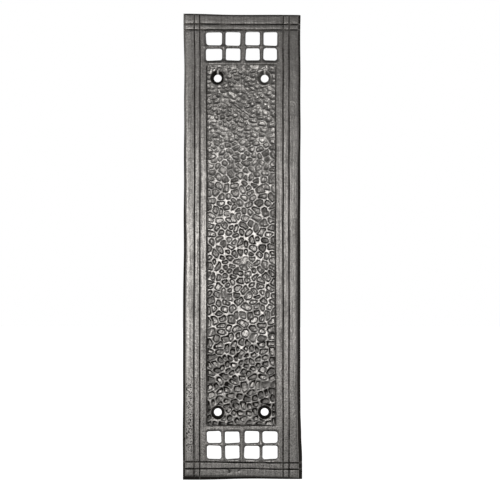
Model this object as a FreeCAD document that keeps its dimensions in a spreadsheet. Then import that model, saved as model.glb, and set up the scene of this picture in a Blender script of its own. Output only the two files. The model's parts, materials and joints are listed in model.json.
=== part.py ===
"""Cast-iron door finger plate, modelled as the one casting that it is.

A flat plate with a bevelled edge stands upright against a door. Pairs of fine grooves run along
its sides and ends and cross near the corners. Two rows of small windows pierce it at each end,
and between them lies a shallow panel covered in hammer marks, with a countersunk screw hole near
each corner of the panel.

Millimetres. X runs across the plate and Z up it. The back lies on the plane Y = 0, centred on the
origin, and the front faces -Y.
"""

import FreeCAD, Part
import math
import os
import random

import Sketcher
from FreeCAD import Vector

# Each driving size is written once: its alias in the sheet, its value and what it measures.
DRIVING_SIZES = (
    ("plate_length", 300.0, "height of the plate on the door"),
    ("plate_width", 75.4, "width across the plate"),
    ("plate_thickness", 4.5, "back to the face of the border"),
    ("edge_bevel", 2.0, "width and depth of the bevel round the front"),
    ("groove_width", 1.3, "mouth of each groove"),
    ("groove_depth", 0.7, "depth of each groove"),
    ("groove_gap", 3.7, "centre to centre of the two grooves of a pair"),
    ("groove_side_inset", 7.2, "side of the plate to the outer groove"),
    ("groove_end_inset", 6.2, "end of the plate to the outer groove"),
    ("panel_side_border", 15.3, "side of the plate to the hammered panel"),
    ("panel_end_border", 33.0, "end of the plate to the hammered panel"),
    ("panel_recess", 0.7, "how far the panel lies below the border"),
    ("window_side_border", 14.7, "side of the plate to the nearest window"),
    ("window_end_border", 11.8, "end of the plate to the nearest window"),
    ("window_height", 8.5, "height of one window"),
    ("window_row_bar", 1.8, "bar between the two rows of windows"),
    ("window_column_bar", 2.4, "bar between two windows of a pair"),
    ("window_middle_bar", 3.6, "bar between the two pairs of windows"),
    ("window_corner", 1.2, "corner radius of a window"),
    ("hole_diameter", 5.0, "clearance for the screw's shank"),
    ("countersink_diameter", 9.0, "mouth of the countersink in the panel"),
    ("countersink_angle", 90.0, "degrees across the countersink"),
    ("hole_side_inset", 7.3, "side of the panel to the screw hole"),
    ("hole_end_inset", 9.4, "end of the panel to the screw hole"),
    ("hole_rim", 0.6, "plain rim left round a countersink"),
    ("mark_pitch_across", 6.3, "mean spacing of the hammer marks across the panel"),
    ("mark_pitch_up", 4.5, "mean spacing of the hammer marks up the panel"),
    ("mark_scatter", 0.31, "how far a mark strays, as a share of its spacing"),
    ("mark_ridge", 1.0, "ridge left standing between two marks"),
    ("mark_depth", 0.55, "depth of a mark"),
    ("mark_wall", 0.6, "width of the slope down to the floor of a mark"),
    ("mark_margin", 0.3, "plain margin inside the panel's sides"),
)
SHEET = "sizes"
MARK_SEED = 11
# Each row of marks is shifted by this share of the spacing, alternately left and right.
ROW_STAGGER = 0.25
# Sites further apart than this many spacings can't bound each other's marks.
NEIGHBOUR_SPACINGS = 3
# A mark narrower than this many slopes has no floor worth striking.
LEAST_FLOOR_SLOPES = 1.6
# Corners of a mark closer than this share of the ridge become one corner.
CORNER_MERGE = 1.0
# Height by which the tool that strikes a mark stands above the panel, as a share of the depth.
TOOL_OVERCUT = 0.3


def build_sheet(doc):
    """The spreadsheet of driving sizes."""
    sheet = doc.addObject("Spreadsheet::Sheet", SHEET)
    for row, (alias, value, words) in enumerate(DRIVING_SIZES, start=1):
        sheet.set(f"A{row}", alias)
        sheet.set(f"B{row}", str(value))
        sheet.setAlias(f"B{row}", alias)
        sheet.set(f"C{row}", words)
    doc.recompute()
    return sheet


def cells(words):
    """The document's own form of an expression in <alias> words."""
    return words.replace("<", f"{SHEET}.").replace(">", "")


def origin_feature(body, role):
    """One of the body's own planes or axes."""
    return next(feature for feature in body.Origin.OriginFeatures if feature.Role == role)


def new_sketch(body, name, role, level=None):
    """A sketch on an origin plane of the body, raised by the expression level along its normal."""
    sketch = body.newObject("Sketcher::SketchObject", name)
    sketch.AttachmentSupport = [(origin_feature(body, role), "")]
    sketch.MapMode = "FlatFace"
    if level:
        sketch.setExpression("AttachmentOffset.Base.z", cells(level))
    return sketch


def number(sketch, words):
    """The present value of an expression in <alias> words."""
    return float(sketch.evalExpression(cells(words)))


def dimension(sketch, kind, places, words):
    """A driving constraint bound to an expression in <alias> words."""
    index = sketch.addConstraint(Sketcher.Constraint(kind, *places, number(sketch, words)))
    sketch.setExpression(f"Constraints[{index}]", cells(words))


def closed_outline(sketch, corners):
    """Straight lines round the corners, each joined to the next. Returns their indices."""
    points = [Vector(x, y, 0) for x, y in corners]
    following = points[1:] + points[:1]
    lines = [sketch.addGeometry(Part.LineSegment(a, b), False) for a, b in zip(points, following)]
    for line, after in zip(lines, lines[1:] + lines[:1]):
        sketch.addConstraint(Sketcher.Constraint("Coincident", line, 2, after, 1))
    return lines


def centred_rectangle(sketch, width, height):
    """A rectangle centred on the sketch's origin."""
    x = number(sketch, width) / 2
    y = number(sketch, height) / 2
    low, right, high, left = closed_outline(sketch, [(-x, -y), (x, -y), (x, y), (-x, y)])
    for line in (low, high):
        sketch.addConstraint(Sketcher.Constraint("Horizontal", line))
    for line in (left, right):
        sketch.addConstraint(Sketcher.Constraint("Vertical", line))
    sketch.addConstraint(Sketcher.Constraint("Symmetric", low, 1, right, 2, -1, 1))
    dimension(sketch, "DistanceX", (low, 1, low, 2), width)
    dimension(sketch, "DistanceY", (right, 1, right, 2), height)


def rounded_rectangle(sketch, left, low, width, height, radius):
    """A rectangle with rounded corners, placed by its left and lower sides."""
    x = number(sketch, left)
    y = number(sketch, low)
    w = number(sketch, width)
    h = number(sketch, height)
    r = number(sketch, radius)
    quarter = math.pi / 2
    # For each side: its ends, then the centre and first angle of the corner that follows it.
    sides = (
        ((x + r, y), (x + w - r, y), (x + w - r, y + r), -quarter),
        ((x + w, y + r), (x + w, y + h - r), (x + w - r, y + h - r), 0.0),
        ((x + w - r, y + h), (x + r, y + h), (x + r, y + h - r), quarter),
        ((x, y + h - r), (x, y + r), (x + r, y + r), 2 * quarter),
    )
    lines = []
    corners = []
    for start, end, centre, angle in sides:
        side = Part.LineSegment(Vector(*start, 0), Vector(*end, 0))
        circle = Part.Circle(Vector(*centre, 0), Vector(0, 0, 1), r)
        lines.append(sketch.addGeometry(side, False))
        corners.append(sketch.addGeometry(Part.ArcOfCircle(circle, angle, angle + quarter), False))
    for line, corner, after in zip(lines, corners, lines[1:] + lines[:1]):
        sketch.addConstraint(Sketcher.Constraint("Tangent", line, 2, corner, 1))
        sketch.addConstraint(Sketcher.Constraint("Tangent", corner, 2, after, 1))
    for corner in corners[1:]:
        sketch.addConstraint(Sketcher.Constraint("Equal", corners[0], corner))
    sketch.addConstraint(Sketcher.Constraint("Horizontal", lines[0]))
    sketch.addConstraint(Sketcher.Constraint("Vertical", lines[1]))
    sketch.addConstraint(Sketcher.Constraint("Horizontal", lines[2]))
    sketch.addConstraint(Sketcher.Constraint("Vertical", lines[3]))
    dimension(sketch, "Radius", (corners[0],), radius)
    dimension(sketch, "DistanceX", (-1, 1, lines[3], 1), left)
    dimension(sketch, "DistanceY", (-1, 1, lines[0], 1), low)
    dimension(sketch, "DistanceX", (lines[3], 1, lines[1], 1), width)
    dimension(sketch, "DistanceY", (lines[0], 1, lines[2], 1), height)


def groove_profile(sketch, centre, across):
    """The V of a groove in the front face, with its width along the sketch's x or y axis."""
    places = (
        (f"{centre} - <groove_width> / 2", "-<plate_thickness>"),
        (f"{centre}", "-<plate_thickness> + <groove_depth>"),
        (f"{centre} + <groove_width> / 2", "-<plate_thickness>"),
    )
    if across == "y":
        places = [(inward, along) for along, inward in places]
    lines = closed_outline(sketch, [(number(sketch, x), number(sketch, y)) for x, y in places])
    for line, (x, y) in zip(lines, places):
        dimension(sketch, "DistanceX", (-1, 1, line, 1), x)
        dimension(sketch, "DistanceY", (-1, 1, line, 1), y)


def pocket(body, sketch, name):
    """A pocket of the sketch, cut away from the sketch's normal."""
    cut = body.newObject("PartDesign::Pocket", name)
    cut.Profile = sketch
    return cut


def through_both_ways(cut):
    """Runs a pocket right through the plate, both ways from its sketch."""
    cut.Type = "ThroughAll"
    cut.SideType = "Symmetric"


def mirrored(body, name, role):
    """One step of a repeat: the mirror image in an origin plane."""
    step = body.Document.addObject("PartDesign::Mirrored", name)
    step.MirrorPlane = (origin_feature(body, role), [""])
    return step


def row_of_two(body, name, role, spacing, backwards=False):
    """One step of a repeat: a second copy along an origin axis."""
    step = body.Document.addObject("PartDesign::LinearPattern", name)
    step.Direction = (origin_feature(body, role), [""])
    step.Mode = "Spacing"
    step.Occurrences = 2
    step.Reversed = backwards
    step.setExpression("Offset", cells(spacing))
    return step


def repeat(body, feature, steps):
    """Repeats a feature by each step in turn, and makes the result the body's tip."""
    body.Document.recompute()
    copies = body.newObject("PartDesign::MultiTransform", f"{feature.Name}_repeat")
    copies.Originals = [feature]
    copies.Transformations = steps
    body.Tip = copies


def build_slab(body):
    """The plain slab of the casting, with the bevel round its front."""
    outline = new_sketch(body, "plate_outline", "XZ_Plane")
    centred_rectangle(outline, "<plate_width>", "<plate_length>")
    slab = body.newObject("PartDesign::Pad", "slab")
    slab.Profile = outline
    slab.setExpression("Length", cells("<plate_thickness>"))
    body.Document.recompute()
    faces = slab.Shape.Faces
    front = min(range(len(faces)), key=lambda index: faces[index].CenterOfMass.y)
    bevel = body.newObject("PartDesign::Chamfer", "edge_bevel")
    bevel.Base = (slab, [f"Face{front + 1}"])
    bevel.setExpression("Size", cells("<edge_bevel>"))
    body.Document.recompute()


def build_panel(body):
    """The shallow panel sunk in the middle of the front."""
    outline = new_sketch(body, "panel_outline", "XZ_Plane", "<plate_thickness>")
    width = "<plate_width> - 2 * <panel_side_border>"
    height = "<plate_length> - 2 * <panel_end_border>"
    centred_rectangle(outline, width, height)
    panel = pocket(body, outline, "panel")
    panel.setExpression("Length", cells("<panel_recess>"))


def build_windows(body):
    """Two rows of four windows at each end, right through the plate."""
    width = (
        "(<plate_width> - 2 * <window_side_border> - 2 * <window_column_bar> - <window_middle_bar>) / 4"
    )
    low = "<plate_length> / 2 - <window_end_border> - 2 * <window_height> - <window_row_bar>"
    outline = new_sketch(body, "window_outline", "XZ_Plane", "<plate_thickness>")
    rounded_rectangle(
        outline, "<window_middle_bar> / 2", low, width, "<window_height>", "<window_corner>"
    )
    window = pocket(body, outline, "window")
    window.Type = "ThroughAll"
    repeat(
        body,
        window,
        [
            row_of_two(body, "window_column", "X_Axis", f"{width} + <window_column_bar>"),
            row_of_two(body, "window_row", "Z_Axis", "<window_height> + <window_row_bar>"),
            mirrored(body, "window_other_side", "YZ_Plane"),
            mirrored(body, "window_other_end", "XY_Plane"),
        ],
    )


def build_grooves(body):
    """The pairs of grooves along the sides and across the ends, which run out at the edges."""
    side = new_sketch(body, "side_groove_profile", "XY_Plane")
    groove_profile(side, "<plate_width> / 2 - <groove_side_inset>", "x")
    side_groove = pocket(body, side, "side_groove")
    through_both_ways(side_groove)
    repeat(
        body,
        side_groove,
        [
            row_of_two(body, "side_groove_pair", "X_Axis", "<groove_gap>", backwards=True),
            mirrored(body, "side_groove_other_side", "YZ_Plane"),
        ],
    )
    end = new_sketch(body, "end_groove_profile", "YZ_Plane")
    groove_profile(end, "<plate_length> / 2 - <groove_end_inset>", "y")
    end_groove = pocket(body, end, "end_groove")
    through_both_ways(end_groove)
    repeat(
        body,
        end_groove,
        [
            row_of_two(body, "end_groove_pair", "Z_Axis", "<groove_gap>", backwards=True),
            mirrored(body, "end_groove_other_end", "XY_Plane"),
        ],
    )


def build_screw_holes(body):
    """A countersunk hole near each corner of the panel."""
    centre = new_sketch(body, "screw_centre", "XZ_Plane", "<plate_thickness> - <panel_recess>")
    across = "<plate_width> / 2 - <panel_side_border> - <hole_side_inset>"
    up = "<plate_length> / 2 - <panel_end_border> - <hole_end_inset>"
    place = Vector(number(centre, across), number(centre, up), 0)
    bore = Part.Circle(place, Vector(0, 0, 1), number(centre, "<hole_diameter>") / 2)
    circle = centre.addGeometry(bore, False)
    dimension(centre, "DistanceX", (-1, 1, circle, 3), across)
    dimension(centre, "DistanceY", (-1, 1, circle, 3), up)
    dimension(centre, "Diameter", (circle,), "<hole_diameter>")
    body.Document.recompute()
    hole = body.newObject("PartDesign::Hole", "screw_hole")
    hole.Profile = centre
    hole.DepthType = "ThroughAll"
    hole.setExpression("Diameter", cells("<hole_diameter>"))
    hole.HoleCutType = "Countersink"
    hole.HoleCutCustomValues = True
    hole.setExpression("HoleCutDiameter", cells("<countersink_diameter>"))
    hole.setExpression("HoleCutCountersinkAngle", cells("<countersink_angle>"))
    repeat(
        body,
        hole,
        [
            mirrored(body, "screw_hole_other_side", "YZ_Plane"),
            mirrored(body, "screw_hole_other_end", "XY_Plane"),
        ],
    )


def kept_side(polygon, point, away):
    """The part of a convex polygon that lies behind the line through point, square to away."""
    kept = []
    reach = [(x - point[0]) * away[0] + (z - point[1]) * away[1] for x, z in polygon]
    for index, (x, z) in enumerate(polygon):
        before_x, before_z = polygon[index - 1]
        before, here = reach[index - 1], reach[index]
        if before * here < 0:
            share = before / (before - here)
            kept.append((before_x + share * (x - before_x), before_z + share * (z - before_z)))
        if here <= 0:
            kept.append((x, z))
    return kept


def inset(polygon, distance):
    """A convex polygon, anticlockwise, with every side moved inwards."""
    smaller = polygon
    for index, (x, z) in enumerate(polygon):
        before_x, before_z = polygon[index - 1]
        length = math.hypot(x - before_x, z - before_z)
        if length == 0:
            continue
        away = ((z - before_z) / length, (before_x - x) / length)
        smaller = kept_side(smaller, (x - distance * away[0], z - distance * away[1]), away)
    return smaller


def merged(polygon, least):
    """The polygon without the corners that lie closer than least to the corner before them."""
    corners = []
    for corner in polygon:
        if not corners or math.dist(corner, corners[-1]) >= least:
            corners.append(corner)
    if len(corners) > 1 and math.dist(corners[0], corners[-1]) < least:
        corners.pop()
    return corners


def mark_sites(half_width, half_height, pitch_across, pitch_up, scatter):
    """Scattered centres of the hammer marks, in staggered rows that fill the panel."""
    draw = random.Random(MARK_SEED)
    columns = max(1, round(2 * half_width / pitch_across))
    rows = max(1, round(2 * half_height / pitch_up))
    across = 2 * half_width / columns
    up = 2 * half_height / rows
    sites = []
    for row in range(rows):
        stagger = ROW_STAGGER if row % 2 else -ROW_STAGGER
        for column in range(columns):
            x = -half_width + (column + 0.5 + stagger + draw.uniform(-scatter, scatter)) * across
            z = -half_height + (row + 0.5 + draw.uniform(-scatter, scatter)) * up
            sites.append((x, z))
    return sites


def mark_outline(site, sites, panel, holes, size):
    """The mouth of one mark: the ground nearest to its site, less half a ridge all round."""
    cell = panel
    near = NEIGHBOUR_SPACINGS * max(size.mark_pitch_across, size.mark_pitch_up)
    for other in sites:
        gap = math.dist(site, other)
        if 0 < gap < near:
            middle = ((site[0] + other[0]) / 2, (site[1] + other[1]) / 2)
            cell = kept_side(cell, middle, ((other[0] - site[0]) / gap, (other[1] - site[1]) / gap))
    clear = size.countersink_diameter / 2 + size.hole_rim - size.mark_ridge / 2
    for hole in holes:
        gap = math.dist(site, hole)
        if gap <= clear:
            return []
        towards = ((hole[0] - site[0]) / gap, (hole[1] - site[1]) / gap)
        cell = kept_side(cell, (hole[0] - clear * towards[0], hole[1] - clear * towards[1]), towards)
    return merged(inset(cell, size.mark_ridge / 2), CORNER_MERGE * size.mark_ridge)


def least_reach(polygon, centre):
    """Distance from the centre to the nearest side of a polygon."""
    reaches = []
    for index, (x, z) in enumerate(polygon):
        before_x, before_z = polygon[index - 1]
        length = math.hypot(x - before_x, z - before_z)
        turn = (x - before_x) * (centre[1] - before_z) - (z - before_z) * (centre[0] - before_x)
        reaches.append(turn / length)
    return min(reaches)


def struck_tool(mouth, level, size):
    """The tool that strikes one mark: a flat-ended punch whose sides slope out past the panel."""
    centre = [sum(values) / len(mouth) for values in zip(*mouth)]
    reach = least_reach(mouth, centre)
    if reach < LEAST_FLOOR_SLOPES * size.mark_wall:
        return None
    slope = size.mark_wall / reach

    def ring(scale, y):
        return [
            Vector(centre[0] + scale * (x - centre[0]), y, centre[1] + scale * (z - centre[1]))
            for x, z in mouth
        ]

    floor = ring(1 - slope, level + size.mark_depth)
    top = ring(1 + TOOL_OVERCUT * slope, level - TOOL_OVERCUT * size.mark_depth)
    sides = [
        [top[index - 1], top[index], floor[index], floor[index - 1]] for index in range(len(mouth))
    ]
    faces = [Part.Face(Part.makePolygon(edge + edge[:1])) for edge in (floor, top, *sides)]
    tool = Part.Solid(Part.Shell(faces))
    if tool.Volume < 0:
        tool.reverse()
    return tool


def build_hammer_marks(doc, size):
    """One tool for each hammer mark, scattered over the panel clear of its sides and holes."""
    half_width = size.plate_width / 2 - size.panel_side_border
    half_height = size.plate_length / 2 - size.panel_end_border
    x = half_width - size.mark_margin
    z = half_height - size.mark_margin
    panel = [(-x, -z), (x, -z), (x, z), (-x, z)]
    hole_x = half_width - size.hole_side_inset
    hole_z = half_height - size.hole_end_inset
    holes = [(side * hole_x, end * hole_z) for side in (-1, 1) for end in (-1, 1)]
    sites = mark_sites(
        half_width, half_height, size.mark_pitch_across, size.mark_pitch_up, size.mark_scatter
    )
    level = size.panel_recess - size.plate_thickness
    mouths = [mark_outline(site, sites, panel, holes, size) for site in sites]
    tools = [struck_tool(mouth, level, size) for mouth in mouths if len(mouth) > 2]
    marks = doc.addObject("Part::Feature", "hammer_marks")
    marks.Shape = Part.makeCompound([tool for tool in tools if tool])
    marks.Placement = FreeCAD.Placement()
    return marks


def build_plate(doc, size):
    """The whole casting: the plate with its hammer marks struck."""
    body = doc.addObject("PartDesign::Body", "plate")
    build_slab(body)
    build_panel(body)
    build_windows(body)
    build_grooves(body)
    build_screw_holes(body)
    marks = build_hammer_marks(doc, size)
    plate = doc.addObject("Part::Cut", "finger_plate")
    plate.Base = body
    plate.Tool = marks
    plate.Label = "finger_plate"
    doc.recompute()
    return plate


def check_document(doc, parts):
    """Stops if any object failed, or any part isn't one valid solid."""
    for item in doc.Objects:
        if "Invalid" in item.State or "Error" in item.State:
            raise RuntimeError(f"{item.Label} failed: {item.State}")
    for part in parts:
        shape = part.Shape
        if shape.isNull() or not shape.isValid() or len(shape.Solids) != 1:
            raise RuntimeError(f"{part.Label} isn't one valid solid")


def main():
    doc = FreeCAD.newDocument("door_finger_plate")
    sheet = build_sheet(doc)
    parts = [build_plate(doc, sheet)]
    check_document(doc, parts)
    os.makedirs("parts", exist_ok=True)
    for part in parts:
        part.Shape.exportStep(f"parts/{part.Label}.step")
        print(part.Label, "volume", round(part.Shape.Volume, 1), "faces", len(part.Shape.Faces))


main()
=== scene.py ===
# %% [markdown]
# # A cast-iron door finger plate
#
# This lesson dresses one sand casting: a tall flat plate that keeps hands off a painted door. The
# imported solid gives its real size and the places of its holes. Here the same plate gets the uneven
# edges, the rounded hammer marks and the rubbed iron finish that a foundry and years of hands give.

import json
import math
import random
from collections import Counter

import bpy
import numpy as np
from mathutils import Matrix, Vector
from mathutils.geometry import delaunay_2d_cdt


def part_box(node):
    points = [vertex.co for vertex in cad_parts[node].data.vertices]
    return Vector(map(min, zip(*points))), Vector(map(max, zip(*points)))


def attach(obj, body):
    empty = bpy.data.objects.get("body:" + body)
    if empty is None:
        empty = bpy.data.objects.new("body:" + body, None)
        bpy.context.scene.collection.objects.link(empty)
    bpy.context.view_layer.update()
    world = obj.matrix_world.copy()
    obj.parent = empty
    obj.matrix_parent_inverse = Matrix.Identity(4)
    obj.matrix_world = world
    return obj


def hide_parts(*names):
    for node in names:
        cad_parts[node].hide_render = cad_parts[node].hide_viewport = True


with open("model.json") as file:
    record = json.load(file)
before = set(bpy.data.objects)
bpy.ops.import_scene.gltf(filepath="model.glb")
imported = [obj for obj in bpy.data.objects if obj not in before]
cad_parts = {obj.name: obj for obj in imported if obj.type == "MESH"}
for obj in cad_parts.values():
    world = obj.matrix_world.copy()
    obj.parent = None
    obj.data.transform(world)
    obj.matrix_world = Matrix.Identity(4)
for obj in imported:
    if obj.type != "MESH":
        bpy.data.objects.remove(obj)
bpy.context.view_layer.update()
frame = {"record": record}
plate_low, plate_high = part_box("finger_plate")

# %% [markdown]
# Small castings are drawn in millimetres, while Blender's frame is in metres. The lesson works in
# millimetres on the plan of the plate: `u` runs across it, `w` runs up it, and a height stands out
# of the door towards the viewer. They turn into metres where Blender gets them.

# %% Measure the plate
MM = 0.001
half_width = (plate_high.x - plate_low.x) / 2 / MM
half_length = (plate_high.z - plate_low.z) / 2 / MM
thickness = (plate_high.y - plate_low.y) / MM
screw_mount = next(m for m in frame["record"]["mounts"] if m["name"] == "screw_holes")
hole_half_across = screw_mount["dims"]["spacing_x_mm"] / 2
hole_half_up = screw_mount["dims"]["spacing_y_mm"] / 2
bore_radius = screw_mount["dims"]["hole_r_mm"]
holes = [(x * hole_half_across, z * hole_half_up) for x in (-1, 1) for z in (-1, 1)]
print("plate", 2 * half_width, "by", 2 * half_length, "by", thickness, "mm")
print("holes", 2 * hole_half_across, "by", 2 * hole_half_up, "mm apart")

# %% [markdown]
# The camera comes first, because every later choice is judged through it. The plate is seen square
# on, so a long lens about a metre away looks straight along +Y. The picture is 500 pixels square and
# the plate stands a little left of its middle, so the camera is moved and not turned: a turn would
# make the plate's sides converge.

# %% Place the camera
FRAME_PIXELS = 500
MM_PER_PIXEL = 0.6464
PLATE_CENTRE_PIXEL = (241.3, 245.3)
CAMERA_DISTANCE_MM = 1000.0
SENSOR_MM = 36.0

camera_data = bpy.data.cameras.new("camera")
camera_data.sensor_width = SENSOR_MM
camera_data.lens = SENSOR_MM * CAMERA_DISTANCE_MM / (FRAME_PIXELS * MM_PER_PIXEL)
camera = bpy.data.objects.new("camera", camera_data)
camera.location = (
    (FRAME_PIXELS / 2 - PLATE_CENTRE_PIXEL[0]) * MM_PER_PIXEL * MM,
    -CAMERA_DISTANCE_MM * MM,
    (PLATE_CENTRE_PIXEL[1] - FRAME_PIXELS / 2) * MM_PER_PIXEL * MM,
)
camera.rotation_euler = (math.radians(90), 0, 0)
bpy.context.scene.collection.objects.link(camera)
bpy.context.scene.camera = camera
print("lens", round(camera_data.lens, 1), "mm")

# %% [markdown]
# A casting carries the shape of the wooden pattern that was pressed into the sand: pairs of fine
# grooves that cross near the corners, and a shallow panel between them. Each groove is given by its
# distance from the plate's edge, and the panel by the width of the border round it.

# %% Sizes of the pattern
SIDE_GROOVES = (7.2, 10.9)
TOP_GROOVES = (6.8, 10.9)
FOOT_GROOVES = (6.6, 10.9)
PANEL_SIDE_BORDER = 15.3
PANEL_END_BORDER = 33.6

panel_half_width = half_width - PANEL_SIDE_BORDER
panel_half_length = half_length - PANEL_END_BORDER
print("panel", 2 * panel_half_width, "by", 2 * panel_half_length, "mm")

# %% [markdown]
# Eight windows pierce each end. They were filed out of the pattern by hand, so no two are alike.
# Boolean cuts would give sixteen twins with knife-sharp edges. Here a window is a rounded rectangle
# whose four corners are pushed a little out of place. The same rule draws rings outside its edge,
# which later carry the rounded arris.

# %% Draw one window
WINDOW_SIDE_POINTS = 9
WINDOW_CORNER_POINTS = 5
CORNER_SIGNS = ((1, -1), (1, 1), (-1, 1), (-1, -1))


def window_ring(window, offset):
    """Points round a window, offset millimetres outside its edge, anticlockwise."""
    size = np.array([window["width"], window["height"]])
    radius = window["corner"] + offset
    arcs = []
    for quarter, signs in enumerate(CORNER_SIGNS):
        turns = (quarter - 1 + np.linspace(0, 1, WINDOW_CORNER_POINTS)) * math.pi / 2
        arc_centre = signs * (size / 2 + offset - radius)
        arcs.append(arc_centre + radius * np.stack([np.cos(turns), np.sin(turns)], axis=1))
    along = np.arange(1, WINDOW_SIDE_POINTS)[:, None] / WINDOW_SIDE_POINTS
    points = np.concatenate(
        [
            np.concatenate([arc, arc[-1] + along * (next_arc[0] - arc[-1])])
            for arc, next_arc in zip(arcs, arcs[1:] + arcs[:1])
        ]
    )
    right, up = (0.5 + points / size).T
    left, down = 1 - right, 1 - up
    pull = np.stack([left * down, right * down, right * up, left * up], axis=1)
    return [tuple(point) for point in window["centre"] + points + pull @ window["stray"]]


print("a window's ring has", 4 * (WINDOW_CORNER_POINTS + WINDOW_SIDE_POINTS - 1), "points")

# %% Lay out the windows
# Rows hold the middle's height and how tall, columns the middle's place and how wide.
TOP_ROWS = ((133.2, 9.1), (123.0, 8.2))
FOOT_ROWS = ((-123.7, 8.0), (-133.3, 8.6))
TOP_COLUMNS = ((-17.45, 10.4), (-5.3, 9.5), (7.4, 9.0), (18.8, 8.9))
FOOT_COLUMNS = ((-17.65, 9.2), (-5.85, 9.3), (6.8, 9.5), (18.5, 9.5))
WINDOW_SEED = 23
WINDOW_CORNER = 1.2
CORNER_SPREAD = (0.8, 1.4)
WINDOW_STRAY = 0.3

window_draw = random.Random(WINDOW_SEED)
windows = [
    {
        "centre": (centre_u, centre_w),
        "width": wide,
        "height": tall,
        "corner": WINDOW_CORNER * window_draw.uniform(*CORNER_SPREAD),
        "stray": [
            [window_draw.uniform(-WINDOW_STRAY, WINDOW_STRAY) for _ in range(2)]
            for _ in CORNER_SIGNS
        ],
    }
    for rows, columns in ((TOP_ROWS, TOP_COLUMNS), (FOOT_ROWS, FOOT_COLUMNS))
    for centre_w, tall in rows
    for centre_u, wide in columns
]
print("windows", len(windows))

# %% [markdown]
# A finely divided mesh is only worth its triangles where the surface is busy, so a subdivided plane
# would waste most of them. The plan is a set of points instead: a coarse net over the plain borders
# whose lines follow the bevel and the grooves, rings round windows and holes, and a close honeycomb
# over the hammered panel. A Delaunay triangulation joins them, so coarse and fine areas meet
# without a seam.

# %% Choose the lines of the net
BORDER_STEP = 1.25
EDGE_LINES = (0.0, 0.3, 0.7, 1.2, 1.6, 1.9, 2.2, 2.6, 3.3, 4.3, 5.2)
GROOVE_LINES = (-0.75, -0.52, -0.36, -0.18, 0.0, 0.18, 0.36, 0.52, 0.75)
LINE_CLEAR = 0.3
PANEL_MARGIN = 0.6


def even_lines(low, high, step):
    """Evenly spaced lines strictly between two ends."""
    pieces = max(1, round((high - low) / step))
    return [low + (high - low) * piece / pieces for piece in range(1, pieces)]


def band_lines(grooves, border):
    """Insets of the net's lines from an edge: along the bevel, the grooves and the plain bands."""
    lines = [line for line in EDGE_LINES if line < grooves[0] + GROOVE_LINES[0] - LINE_CLEAR]
    lines += [groove + line for groove in grooves for line in GROOVE_LINES]
    lines += even_lines(grooves[0] + GROOVE_LINES[-1], grooves[1] + GROOVE_LINES[0], BORDER_STEP)
    inner_end = border - PANEL_MARGIN + BORDER_STEP
    lines += even_lines(grooves[1] + GROOVE_LINES[-1], inner_end, BORDER_STEP)
    return sorted(lines)


side_insets = band_lines(SIDE_GROOVES, PANEL_SIDE_BORDER)
top_insets = band_lines(TOP_GROOVES, PANEL_END_BORDER)
foot_insets = band_lines(FOOT_GROOVES, PANEL_END_BORDER)
across_lines = (
    [inset - half_width for inset in side_insets]
    + even_lines(side_insets[-1] - half_width, half_width - side_insets[-1], BORDER_STEP)
    + [half_width - inset for inset in reversed(side_insets)]
)
up_lines = (
    [inset - half_length for inset in foot_insets]
    + even_lines(foot_insets[-1] - half_length, half_length - top_insets[-1], 2 * BORDER_STEP)
    + [half_length - inset for inset in reversed(top_insets)]
)
print("net of", len(across_lines), "by", len(up_lines), "lines")

# %% Draw the net of the borders
PLAIN = 9.0
WINDOW_CLEAR = 0.75
plan = []
window_gap = []


def add_points(points, gap=PLAIN):
    """Adds points to the plan and returns their numbers. gap is how far a window's edge is."""
    first = len(plan)
    plan.extend(points)
    window_gap.extend([gap] * len(points))
    return list(range(first, len(plan)))


def in_panel(u, w, margin):
    return abs(u) < panel_half_width + margin and abs(w) < panel_half_length + margin


def near_window(u, w):
    clear = WINDOW_CLEAR + WINDOW_STRAY / 2
    return any(
        abs(u - window["centre"][0]) < window["width"] / 2 + clear
        and abs(w - window["centre"][1]) < window["height"] / 2 + clear
        for window in windows
    )


net = {}
for i, u in enumerate(across_lines):
    for j, w in enumerate(up_lines):
        if not in_panel(u, w, PANEL_MARGIN) and not near_window(u, w):
            net[i, j] = add_points([(u, w)])[0]
last_i, last_j = len(across_lines) - 1, len(up_lines) - 1
outline = (
    [net[i, 0] for i in range(last_i)]
    + [net[last_i, j] for j in range(last_j)]
    + [net[i, last_j] for i in range(last_i, 0, -1)]
    + [net[0, j] for j in range(last_j, 0, -1)]
)
print("border net", len(net), "points, outline", len(outline))

# %% Draw the rings round the windows and holes
WINDOW_RINGS = (0.0, 0.2, 0.5)
HOLE_RINGS = (2.75, 3.2, 3.7, 4.15, 4.45, 4.7, 5.0)
HOLE_POINTS = 40
constraints = []


def circle(centre, radius, count=HOLE_POINTS):
    """Points round a circle, anticlockwise."""
    turns = [2 * math.pi * step / count for step in range(count)]
    return [(centre[0] + radius * math.cos(t), centre[1] + radius * math.sin(t)) for t in turns]


def closed_line(numbers):
    """The edges of a closed row of points."""
    return list(zip(numbers, numbers[1:] + numbers[:1]))


window_edges = []
for window in windows:
    rings = [add_points(window_ring(window, offset), offset) for offset in WINDOW_RINGS]
    window_edges.append(rings[0])
    constraints += closed_line(rings[0])
hole_edges = []
for centre in holes:
    hole_edges.append(add_points(circle(centre, bore_radius)))
    constraints += closed_line(hole_edges[-1])
    for radius in HOLE_RINGS:
        add_points(circle(centre, radius))
print("rings bring the plan to", len(plan), "points")

# %% [markdown]
# Three small blowholes were left where gas was caught in the iron: two by the foot and one in the
# left border. The coarse net would miss them, so each gets a few rings of points of its own.

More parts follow.
